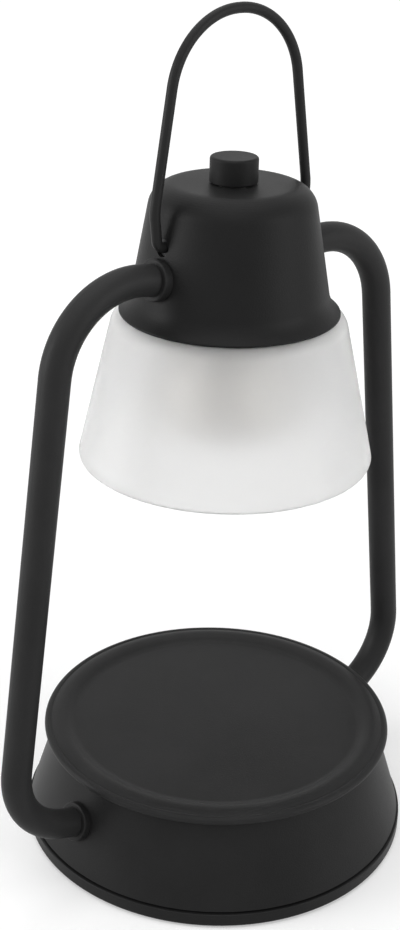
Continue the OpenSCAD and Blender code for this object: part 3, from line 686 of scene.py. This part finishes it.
@dataclass(frozen=True)
class Palette:
    """Every finish on the lamp, one for each material slot of the record."""

    base_coat: Finish = PowderCoat("base_coat", COAT)
    tray_coat: Finish = PowderCoat("tray_coat", COAT)
    # The black parts all wear one powder coat. These tints of COAT are painted light and shade:
    # the hood and knob are painted darker as they sit nearer the lamps, and the plate, tubes,
    # collars and wire lighter where they catch less light.
    plate_coat: Finish = PowderCoat("plate_coat", tinted(COAT, 1.3), roughness=0.44)
    tube_coat: Finish = PowderCoat("tube_coat", tinted(COAT, 1.55), roughness=0.48)
    collar_coat: Finish = PowderCoat("collar_coat", tinted(COAT, 1.2), rub=0.5)
    hood_coat: Finish = PowderCoat("hood_coat", tinted(COAT, 0.68), roughness=0.47)
    ring_coat: Finish = PowderCoat("ring_coat", COAT, rub=0.6)
    wire_coat: Finish = PowderCoat("wire_coat", tinted(COAT, 1.2), pebble=0.4 * MM, rub=0.5)
    knob_coat: Finish = PowderCoat(
        "knob_coat", tinted(COAT, 0.8), roughness=0.5, pebble=0.4 * MM
    )
    screw_black: Finish = Metal("screw_black", (0.06, 0.06, 0.062), 0.45)
    ballast_iron: Finish = Metal("ballast_iron", (0.16, 0.155, 0.15), 0.6)
    zinc_steel: Finish = Metal("zinc_steel", (0.6, 0.6, 0.59), 0.32)
    plated_sheet: Finish = Metal("plated_sheet", (0.58, 0.58, 0.58), 0.36, ToolMarks.TURNED)
    bare_brass: Finish = Metal("bare_brass", (0.7, 0.5, 0.2), 0.28)
    pin_metal: Finish = Metal("pin_metal", (0.75, 0.75, 0.76), 0.25, ToolMarks.TURNED)
    bulb_mirror: Finish = Metal("bulb_mirror", (0.62, 0.6, 0.57), 0.2)
    bulb_glass: Finish = ClearGlass("bulb_glass", (0.96, 0.97, 0.98))
    frosted_glass: Finish = FrostedGlass("frosted_glass", (0.864, 0.863, 0.86))
    ceramic: Finish = Moulded("ceramic", (0.8, 0.78, 0.73), 0.5)
    foot_rubber: Finish = Moulded(
        "foot_rubber", (0.018, 0.018, 0.018), 0.75, skin=0.4 * MM, depth=0.02 * MM
    )
    silicone: Finish = Moulded("silicone", (0.72, 0.7, 0.67), 0.45)
    black_nylon: Finish = Moulded("black_nylon", (0.014, 0.014, 0.015), 0.55)
    white_nylon: Finish = Moulded("white_nylon", (0.78, 0.78, 0.75), 0.45)
    cable_sleeve: Finish = Moulded("cable_sleeve", (0.72, 0.72, 0.69), 0.5)

    def material(self, slot: str) -> bpy.types.Material:
        """Gives the material of a record slot."""
        return getattr(self, slot).material()


PALETTE = Palette()
SLOT_OF: dict[str, str] = {
    row["node"]: row["material_slot"] for row in frame["record"]["subparts"]
}


# --------------------------------------------------------------------------------------
# Mesh building
# --------------------------------------------------------------------------------------


@dataclass
class Piece:
    """A new piece that is modelled here, rides on a body and takes a record slot's finish."""

    name: str
    body: str
    slot: str
    smooth: bool = True
    merge: float = 1e-6
    sharp: float = math.radians(35.0)

    def finish(self, shape: bmesh.types.BMesh, *replaced: str) -> None:
        """Turns a bmesh into the piece's object.

        Args:
            shape: the finished bmesh, which is freed.
            replaced: CAD nodes that the piece stands for.
        """
        bmesh.ops.remove_doubles(shape, verts=shape.verts, dist=self.merge)
        bmesh.ops.recalc_face_normals(shape, faces=shape.faces)
        mesh = bpy.data.meshes.new(self.name)
        shape.to_mesh(mesh)
        shape.free()
        piece = bpy.data.objects.new(self.name, mesh)
        bpy.context.scene.collection.objects.link(piece)
        mesh.polygons.foreach_set("use_smooth", [self.smooth] * len(mesh.polygons))
        mesh.set_sharp_from_angle(angle=self.sharp)
        mesh.materials.append(PALETTE.material(self.slot))
        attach(piece, self.body)
        if replaced:
            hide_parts(*replaced)
        log.info("%s: %d faces on %s", self.name, len(mesh.polygons), self.body)


def spun(
    shape: bmesh.types.BMesh, profile: list[Point], steps: int, merge: float = 1e-7
) -> list[bmesh.types.BMVert]:
    """Spins a profile of (radius, height) points round Z into a closed skin.

    Args:
        shape: the bmesh that gets the skin.
        profile: the points, in metres.
        steps: copies in the full turn.
        merge: how close points on the axis are when they become one.

    Returns:
        The new vertices.
    """
    before = set(shape.verts)
    row = [shape.verts.new((radius, 0.0, height)) for radius, height in profile]
    edges = [shape.edges.new(pair) for pair in zip(row, row[1:])]
    bmesh.ops.spin(
        shape, geom=row + edges, cent=(0, 0, 0), axis=(0, 0, 1), dvec=(0, 0, 0),
        angle=math.tau, steps=steps, use_merge=True,
    )
    bmesh.ops.remove_doubles(shape, verts=shape.verts, dist=merge)
    return [vert for vert in shape.verts if vert not in before]


def arc(centre: Point, radius: float, start: float, end: float, steps: int) -> list[Point]:
    """Gives points along an arc in the (radius, height) plane.

    Args:
        centre: the arc's centre.
        radius: its radius, in metres.
        start: its first angle, in degrees.
        end: its last angle, in degrees.
        steps: how many pieces it is cut in.

    Returns:
        The points, both ends among them.
    """
    turns = [math.radians(start + (end - start) * step / steps) for step in range(steps + 1)]
    x, z = centre
    return [(x + radius * math.cos(turn), z + radius * math.sin(turn)) for turn in turns]


# --------------------------------------------------------------------------------------
# Sub-assemblies
# --------------------------------------------------------------------------------------


@dataclass
class SubAssembly:
    """A group of pieces that a maker would put together on the bench."""

    nodes: tuple[str, ...] = ()

    def dress(self) -> None:
        """Gives each CAD node of the group the finish of its record slot."""
        for node in self.nodes:
            slots = frame["nodes"][node].data.materials
            slots.clear()
            slots.append(PALETTE.material(SLOT_OF[node]))
            log.info("%s dressed as %s", node, SLOT_OF[node])

    def build(self) -> None:
        """Dresses the group. A group with pieces of its own adds them."""
        self.dress()


@dataclass
class Base(SubAssembly):
    """The weighted cone with its tray, feet, screws, gland and terminal block."""

    nodes: tuple[str, ...] = (
        "base_shell", "bottom_tray", "ballast_disc", "rubber_feet", "tray_screws",
        "cord_gland", "terminal_block", "terminal_screws",
    )
    foot_count: int = 4
    first_foot: float = 45.0
    foot_circle: float = 64.0 * MM
    foot_radius: float = 6.0 * MM
    foot_round: float = 0.4 * MM
    foot_steps: int = 48
    tread_radii: tuple[float, ...] = (1.7 * MM, 3.1 * MM, 4.5 * MM)
    tread_width: float = 0.6 * MM
    tread_floor: float = 0.7
    tread_depth: float = 0.35 * MM
    sleeve_radius: float = 5.2 * MM
    flange_radius: float = 7.3 * MM
    flange_round: float = 0.6 * MM
    bore_round: float = 0.5 * MM
    outside: float = 1.6 * MM
    inside: float = 7.0 * MM
    bed: float = 0.45 * MM
    grooves: int = 24
    groove_steps: int = 4
    groove_depth: float = 0.35 * MM
    groove_share: float = 0.9

    def build(self) -> None:
        """Dresses the base and adds its treaded feet and ribbed gland."""
        self.dress()
        self.feet()
        self.gland()

    def feet(self) -> None:
        """Models the four feet with tread grooves, which stand for the plain CAD feet."""
        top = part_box("rubber_feet")[1].z
        half = self.tread_width / 2
        floor = half * self.tread_floor
        profile = [(0.0, 0.0)]
        for radius in self.tread_radii:
            profile += [(radius - half, 0.0), (radius - floor, self.tread_depth)]
            profile += [(radius + floor, self.tread_depth), (radius + half, 0.0)]
        edge = (self.foot_radius - self.foot_round, self.foot_round)
        profile += arc(edge, self.foot_round, -90.0, 0.0, 4)
        profile += [(self.foot_radius, top), (0.0, top)]
        shape = bmesh.new()
        for foot in range(self.foot_count):
            verts = spun(shape, profile, self.foot_steps)
            turn = math.radians(self.first_foot + 360.0 / self.foot_count * foot)
            x, y = self.foot_circle * math.cos(turn), self.foot_circle * math.sin(turn)
            bmesh.ops.translate(shape, vec=Vector((x, y, 0.0)), verts=verts)
        Piece("treaded_feet", "stand", SLOT_OF["rubber_feet"]).finish(shape, "rubber_feet")

    def gland(self) -> None:
        """Models the gland with finger grooves, which stands for the plain CAD gland."""
        mounts = {mount["name"]: mount for mount in frame["record"]["mounts"]}
        inlet = mounts["cord_inlet"]
        axis = Vector(inlet["axis"])
        bore = inlet["dims"]["r_mm"] * MM
        middle = (self.outside - self.inside) / 2
        corner = self.flange_radius - self.flange_round
        profile = [
            (bore, -self.inside),
            (self.sleeve_radius, -self.inside),
            (self.sleeve_radius, -self.bed),
            (self.flange_radius, -self.bed),
        ]
        rim = (corner, self.outside - self.flange_round)
        lead_in = (bore + self.bore_round, self.outside - self.bore_round)
        profile += arc(rim, self.flange_round, 0.0, 90.0, 6)
        profile += arc(lead_in, self.bore_round, 90.0, 180.0, 5)
        shape = bmesh.new()
        for vert in spun(shape, profile + profile[:1], self.grooves * self.groove_steps):
            radius = math.hypot(vert.co.x, vert.co.y)
            wave = math.cos(math.atan2(vert.co.y, vert.co.x) * self.grooves)
            if radius > corner and wave < -self.groove_share:
                vert.co.xy *= 1.0 - self.groove_depth / radius
        seat = Vector(inlet["pos_m"]) - axis * middle
        turn = axis.to_track_quat("Z", "X").to_matrix().to_4x4()
        bmesh.ops.transform(shape, matrix=Matrix.Translation(seat) @ turn, verts=shape.verts)
        Piece("ribbed_gland", "stand", SLOT_OF["cord_gland"]).finish(shape, "cord_gland")


@dataclass
class CandlePlate(SubAssembly):
    """The dished plate with its nuts and earth tag."""

    nodes: tuple[str, ...] = ("candle_plate", "plate_nuts", "earth_tag")


@dataclass
class SideTubes(SubAssembly):
    """Both tubes with their collars, nipples, nuts and the feed cable."""

    nodes: tuple[str, ...] = (
        "left_tube", "right_tube", "tube_nipples", "lower_collars", "upper_collars",
        "tube_nuts", "feed_cable",
    )


@dataclass
class Hood(SubAssembly):
    """The hood with the carrier plate that hangs in it."""

    nodes: tuple[str, ...] = (
        "hood_shell", "standoffs", "standoff_screws", "carrier_plate", "gallery_screws",
    )


@dataclass
class Shade(SubAssembly):
    """The frosted glass, one blown wall with a fire-polished mouth and neck, and its holders."""

    nodes: tuple[str, ...] = ("shade_gallery", "shade_gasket", "glass_shade", "shade_ring")
    mouth_radius: float = 53.8 * MM
    top_radius: float = 41.1 * MM
    shoulder: float = 6.0 * MM
    wall: float = 2.8 * MM
    neck_radius: float = 21.6 * MM
    mouth_turn: Range = (-170.0, -10.0)
    mouth_steps: int = 12
    rise_steps: int = 12
    shoulder_steps: int = 14
    neck_steps: int = 10
    steps: int = 160

    def wall_line(self, depth: float, low: float, high: float) -> list[Point]:
        """Follows the wall from the mouth to the top at a depth below its outer face.

        Args:
            depth: how deep the line lies in the glass.
            low: height of the mouth.
            high: height of the top.

        Returns:
            The points of the line, rising.
        """
        lean = math.atan((self.mouth_radius - self.top_radius) / (high - low))
        slope, upright = math.tan(lean), math.cos(lean)
        half = self.wall / 2
        across = self.top_radius + self.shoulder * slope - self.shoulder / upright
        centre, radius = (across, high - self.shoulder), self.shoulder - depth
        bend = arc(centre, radius, math.degrees(lean), 90.0, self.shoulder_steps)
        x, z = self.mouth_radius - depth / upright - half * slope, low + half
        wide, tall = bend[0][0] - x, bend[0][1] - z
        count = self.rise_steps
        rise = [(x + wide * step / count, z + tall * step / count) for step in range(count)]
        return rise + bend

    def build(self) -> None:
        """Dresses the holders and spins the glass, which stands for the CAD shade."""
        self.dress()
        low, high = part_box("glass_shade")
        outer = self.wall_line(0.0, low.z, high.z)
        inner = self.wall_line(self.wall, low.z, high.z)
        half = self.wall / 2
        mouth = ((outer[0][0] + inner[0][0]) / 2, low.z + half)
        neck = (self.neck_radius + half, high.z - half)
        profile = arc(mouth, half, *self.mouth_turn, self.mouth_steps) + outer
        profile += arc(neck, half, 90.0, 270.0, self.neck_steps) + inner[::-1]
        shape = bmesh.new()
        spun(shape, profile + profile[:1], self.steps)
        Piece("frosted_shade", "stand", "frosted_glass").finish(shape, "glass_shade")


@dataclass
class Bulb(SubAssembly):
    """The reflector bulb in its holder: ribbed face, faceted bowl and the lamp capsule."""

    nodes: tuple[str, ...] = (
        "lampholder", "holder_screws", "lamp_leads", "bulb_base", "bulb_reflector",
        "bulb_lens", "bulb_pins",
    )
    face_radius: float = 24.6 * MM
    face_inset: float = 0.4 * MM
    face_lift: float = 0.1 * MM
    face_dome: float = 0.9 * MM
    face_steps: int = 96
    ring_count: int = 9
    ring_points: int = 6
    ring_depth: float = 0.22 * MM
    rim_width: float = 0.3 * MM
    rim_height: float = 0.7 * MM
    rim_gap: float = 0.05 * MM
    neck_radius: float = 9.5 * MM
    neck_wall: float = 1.5 * MM
    bowl_wall: float = 1.2 * MM
    bowl_curve: float = 0.8
    facet_rows: int = 9
    facet_columns: int = 40
    capsule_radius: float = 4.6 * MM
    capsule_height: float = 17.0 * MM
    capsule_gap: float = 0.1 * MM
    capsule_shoulder: float = 1.2 * MM
    capsule_neck: float = 0.7
    capsule_steps: int = 32

    def build(self) -> None:
        """Dresses the holder and base, and adds the bulb's own pieces."""
        self.dress()
        self.face()
        self.bowl()
        self.capsule()

    def face(self) -> None:
        """Models the ribbed glass face, which stands for the plain CAD one."""
        low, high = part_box("bulb_lens")
        radius = min(self.face_radius, high.x - self.face_inset)
        count = self.ring_count * self.ring_points
        profile = []
        for share in (step / count for step in range(count + 1)):
            ripple = 0.5 - 0.5 * math.cos(math.tau * share * self.ring_count)
            dome = self.face_dome * share * share
            height = low.z + self.face_lift + dome + self.ring_depth * ripple
            profile.append((radius * share, height))
        rim, back = radius + self.rim_width, high.z - self.rim_gap
        profile += [(rim, high.z - self.rim_height), (rim, back), (0.0, back)]
        shape = bmesh.new()
        spun(shape, profile, self.face_steps)
        Piece("bulb_face", "stand", "bulb_glass").finish(shape, "bulb_lens")

    def bowl_line(self, neck: float, reach: float, low: float, rise: float) -> list[Point]:
        """Follows the bowl from its mouth up to its neck.

        Args:
            neck: radius of the neck.
            reach: how much wider the mouth is.
            low: height of the mouth.
            rise: height of the bowl.

        Returns:
            The corners between the rows of facets.
        """
        line = []
        for share in (row / self.facet_rows for row in range(self.facet_rows + 1)):
            bulge = reach * math.cos(math.pi / 2 * share) ** self.bowl_curve
            line.append((neck + bulge, low + rise * share))
        return line

    def bowl(self) -> None:
        """Models the bowl with its mirror facets, which stands for the smooth CAD one."""
        low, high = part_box("bulb_reflector")
        reach, rise = high.x - self.neck_radius, high.z - low.z
        inner_neck = self.neck_radius - self.neck_wall
        outer = self.bowl_line(self.neck_radius, reach, low.z, rise)
        inner = self.bowl_line(inner_neck, reach, low.z, rise - self.bowl_wall)
        crown = [(0.0, high.z), (0.0, high.z - self.bowl_wall)]
        shape = bmesh.new()
        spun(shape, outer + crown + inner[::-1] + outer[:1], self.facet_columns)
        Piece("bulb_bowl", "stand", "bulb_mirror", smooth=False).finish(shape, "bulb_reflector")

    def capsule(self) -> None:
        """Models the lamp capsule in the bowl."""
        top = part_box("bulb_reflector")[1].z - self.bowl_wall - self.capsule_gap
        radius = self.capsule_radius
        tip = top - self.capsule_height + radius
        profile = [
            (0.0, top),
            (radius * self.capsule_neck, top),
            (radius, top - self.capsule_shoulder),
        ]
        shape = bmesh.new()
        spun(shape, profile + arc((0.0, tip), radius, 0.0, -90.0, 8), self.capsule_steps)
        Piece("lamp_capsule", "stand", "bulb_glass").finish(shape)


@dataclass
class Dimmer(SubAssembly):
    """The rotary dimmer with its shaft and knob."""

    nodes: tuple[str, ...] = (
        "dimmer_body", "dimmer_nut", "dimmer_shaft", "dimmer_knob", "knob_screw",
    )


@dataclass
class Bail(SubAssembly):
    """The wire carrying bail with its bushes and clips."""

    nodes: tuple[str, ...] = ("bail_handle", "bail_bushes", "bail_clips")


# --------------------------------------------------------------------------------------
# Studio
# --------------------------------------------------------------------------------------


@dataclass
class PhotoCamera:
    """The camera of the photograph, worked out from the lamp's own proportions."""

    focal_px: float = 1543.8
    elevation: float = 0.428
    azimuth: float = 0.736
    distance: float = 570.0 * MM
    aim_height: float = 151.95 * MM
    pan: float = -0.0158
    roll: float = 0.0327
    sensor: float = 36.0
    clip: Range = (0.01, 20.0)

    def build(self) -> None:
        """Makes the camera and sets it on the scene."""
        ce, se = math.cos(self.elevation), math.sin(self.elevation)
        ca, sa = math.cos(self.azimuth), math.sin(self.azimuth)
        back = Vector((-ce * sa, -ce * ca, se))
        right = Vector((ca, -sa, 0.0))
        ahead = -back * math.cos(self.pan) + right * math.sin(self.pan)
        side = right * math.cos(self.pan) + back * math.sin(self.pan)
        up = side.cross(ahead)
        across = side * math.cos(self.roll) + up * math.sin(self.roll)
        above = up * math.cos(self.roll) - side * math.sin(self.roll)
        data = bpy.data.cameras.new("photo_camera")
        data.sensor_width = self.sensor
        data.lens = self.focal_px * self.sensor / PHOTO_HEIGHT
        data.clip_start, data.clip_end = self.clip
        camera = bpy.data.objects.new("photo_camera", data)
        bpy.context.scene.collection.objects.link(camera)
        turn = Matrix((across, above, -ahead)).transposed().to_4x4()
        place = Vector((0.0, 0.0, self.aim_height)) + back * self.distance
        camera.matrix_world = Matrix.Translation(place) @ turn
        bpy.context.scene.camera = camera


@dataclass(frozen=True)
class Softbox:
    """A square soft lamp: where it hangs, how high it aims, its side and its power in watts."""

    name: str
    place: Place
    aim_height: float
    size: float
    power: float

    def hang(self) -> None:
        """Hangs the lamp, turned to the object."""
        data = bpy.data.lights.new(self.name, "AREA")
        data.shape, data.size, data.energy = "SQUARE", self.size, self.power
        light = bpy.data.objects.new(self.name, data)
        bpy.context.scene.collection.objects.link(light)
        light.location = self.place
        light.rotation_mode = "QUATERNION"
        aim = Vector((0.0, 0.0, self.aim_height)) - Vector(self.place)
        light.rotation_quaternion = aim.to_track_quat("-Z", "Y")


@dataclass
class Studio:
    """A white product table with large soft lamps."""

    floor_size: float = 6.0
    floor_colour: Colour = (0.72, 0.72, 0.72)
    lift_reach: Range = (0.2, 1.5)
    lift: Range = (0.3, 0.74)
    sky: float = 0.39
    lamps: tuple[Softbox, ...] = (
        Softbox("top_softbox", (0.0, 0.15, 1.35), 0.2, 1.2, 7.5),
        Softbox("front_softbox", (-0.5, -0.55, 1.15), 0.15, 1.0, 3.0),
        Softbox("left_softbox", (-1.22, 0.7, 0.45), 0.15, 0.8, 13.0),
        Softbox("right_softbox", (0.6, -1.23, 0.5), 0.15, 0.8, 7.5),
    )

    def build(self) -> None:
        """Makes the floor, the world and the lamps."""
        self.floor()
        self.world()
        for lamp in self.lamps:
            lamp.hang()

    def seen(self, graph: Graph) -> Socket:
        """Tells the rays that show the background from those that light the lamp.

        Args:
            graph: the nodes that get the Light Path.

        Returns:
            One for camera, glossy and transmitted rays.
        """
        rays = graph.add("ShaderNodeLightPath").outputs
        mirrored = graph.math("MAXIMUM", rays["Is Glossy Ray"], rays["Is Transmission Ray"])
        return graph.math("MAXIMUM", rays["Is Camera Ray"], mirrored)

    def floor_paint(self) -> bpy.types.Material:
        """Makes a pale paint that keeps the shadow, is white further off and has no back.

        Returns:
            The floor's material.
        """
        paint = bpy.data.materials.new("floor_paint")
        paint.use_nodes = True
        paint.node_tree.nodes.clear()
        graph = Graph(paint.node_tree)
        reach = graph.add("ShaderNodeVectorMath", operation="LENGTH")
        graph.feed(reach.inputs[0], graph.place())
        lift = graph.span(reach.outputs["Value"], self.lift_reach, self.lift)
        strength = graph.times(self.seen(graph), lift)
        matt = graph.shader("ShaderNodeBsdfDiffuse", {"Color": rgba(self.floor_colour)})
        glow = graph.shader("ShaderNodeEmission", {"Strength": strength})
        both = graph.shader("ShaderNodeAddShader", {0: matt, 1: glow})
        clear = graph.shader("ShaderNodeBsdfTransparent", {})
        behind = graph.add("ShaderNodeNewGeometry").outputs["Backfacing"]
        one_sided = graph.shader("ShaderNodeMixShader", {0: behind, 1: both, 2: clear})
        graph.feed(graph.add("ShaderNodeOutputMaterial").inputs["Surface"], one_sided)
        return paint

    def floor(self) -> None:
        """Lays the pale floor."""
        shape = bmesh.new()
        bmesh.ops.create_grid(shape, x_segments=1, y_segments=1, size=self.floor_size / 2)
        mesh = bpy.data.meshes.new("studio_floor")
        shape.to_mesh(mesh)
        shape.free()
        mesh.materials.append(self.floor_paint())
        floor = bpy.data.objects.new("studio_floor", mesh)
        bpy.context.scene.collection.objects.link(floor)
        floor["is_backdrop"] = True

    def world(self) -> None:
        """Makes the white surroundings."""
        world = bpy.data.worlds.new("studio_world")
        bpy.context.scene.world = world
        world.use_nodes = True
        world.node_tree.nodes.clear()
        graph = Graph(world.node_tree)
        strength = graph.span(self.seen(graph), WHOLE, (self.sky, 1.0))
        sky = graph.shader("ShaderNodeBackground", {"Color": WHITE, "Strength": strength})
        graph.feed(graph.add("ShaderNodeOutputWorld").inputs["Surface"], sky)


def main() -> None:
    """Builds the camera, the studio and the lamp."""
    logging.basicConfig(level=logging.INFO, format="%(message)s")
    bpy.context.scene.view_settings.view_transform = "Standard"
    PhotoCamera().build()
    Studio().build()
    groups = (Base(), CandlePlate(), SideTubes(), Hood(), Shade(), Bulb(), Dimmer(), Bail())
    for group in groups:
        group.build()
    boxes = {"cad": CAD_BOX, "visual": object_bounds()}
    {name: [list(corner) for corner in box] for name, box in boxes.items()}


if __name__ == "__main__":
    main()
